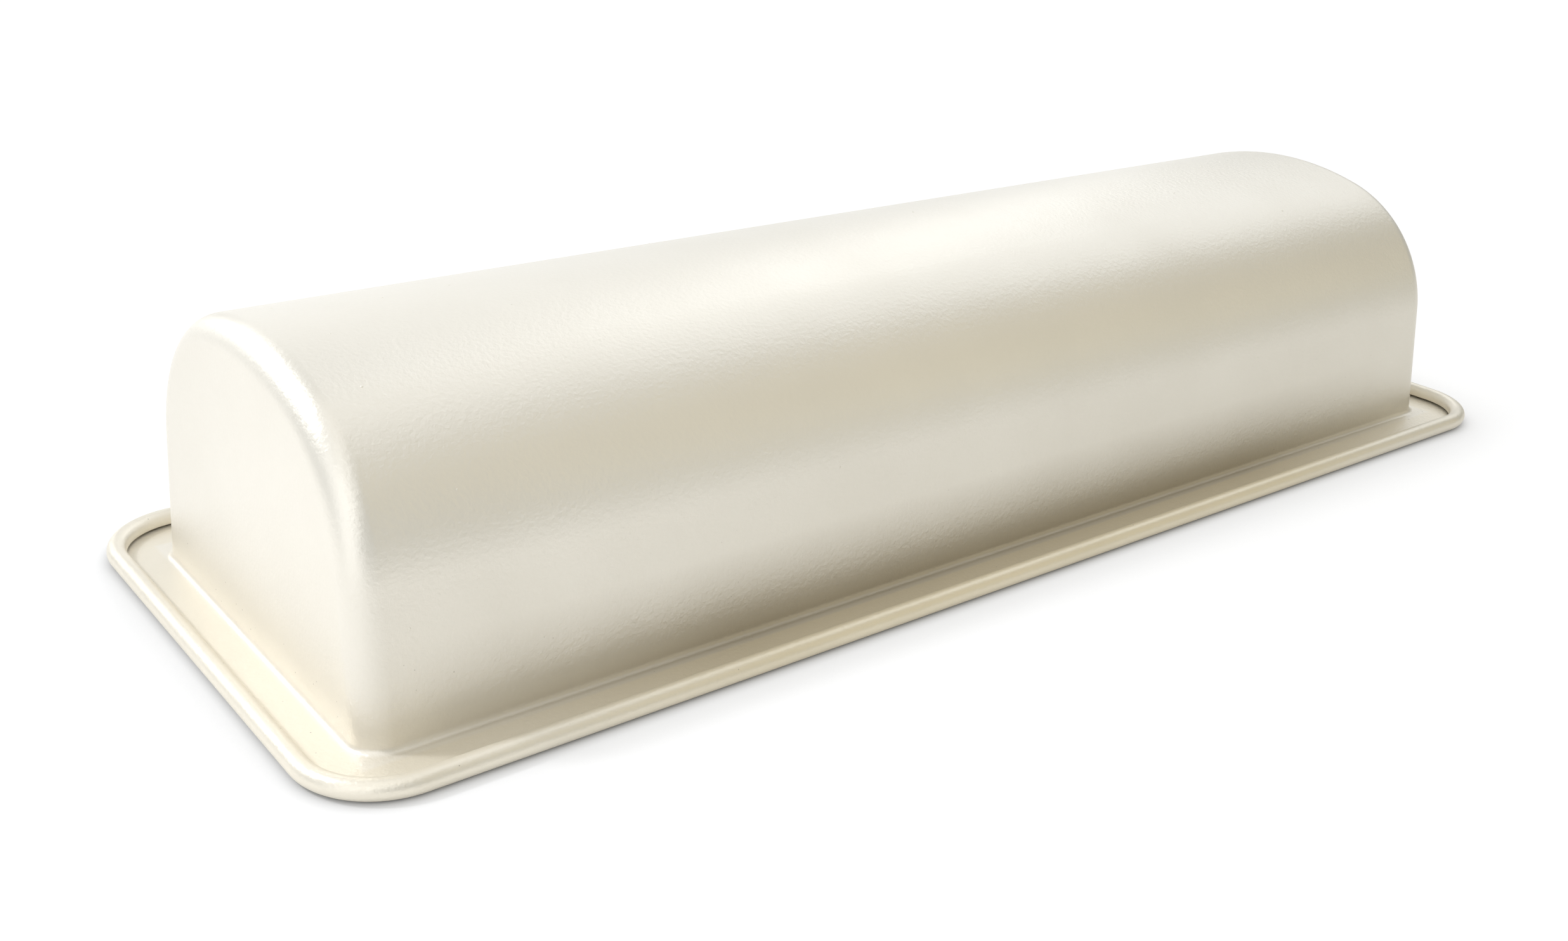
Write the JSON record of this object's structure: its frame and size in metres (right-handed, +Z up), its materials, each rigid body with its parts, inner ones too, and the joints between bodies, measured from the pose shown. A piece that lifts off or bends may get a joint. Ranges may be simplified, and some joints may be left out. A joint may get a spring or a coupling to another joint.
{
  "type": "yule log mould",
  "caption": "Drawn steel log cake mould: drafted U-shaped trough with closed ends, a narrow flange and a wired rim, shown mouth down; forms and bakes a round-topped log cake.",
  "frame": {"origin": "under the middle of the mould, on the plane that the rim rests on when the mould lies mouth down", "axes": "+X along the log, +Y across it towards the side away from the picture's camera, +Z up through the crown"},
  "size_m": [0.3, 0.1144, 0.056],
  "materials": {
    "pearl_coat": "satin champagne pearl non-stick coat with a fine orange peel",
    "bright_wire": "drawn bright steel wire"
  },
  "bodies": {
    "root": {"mould_shell": "pearl_coat", "rim_wire": "bright_wire"}
  },
  "joints": []
}
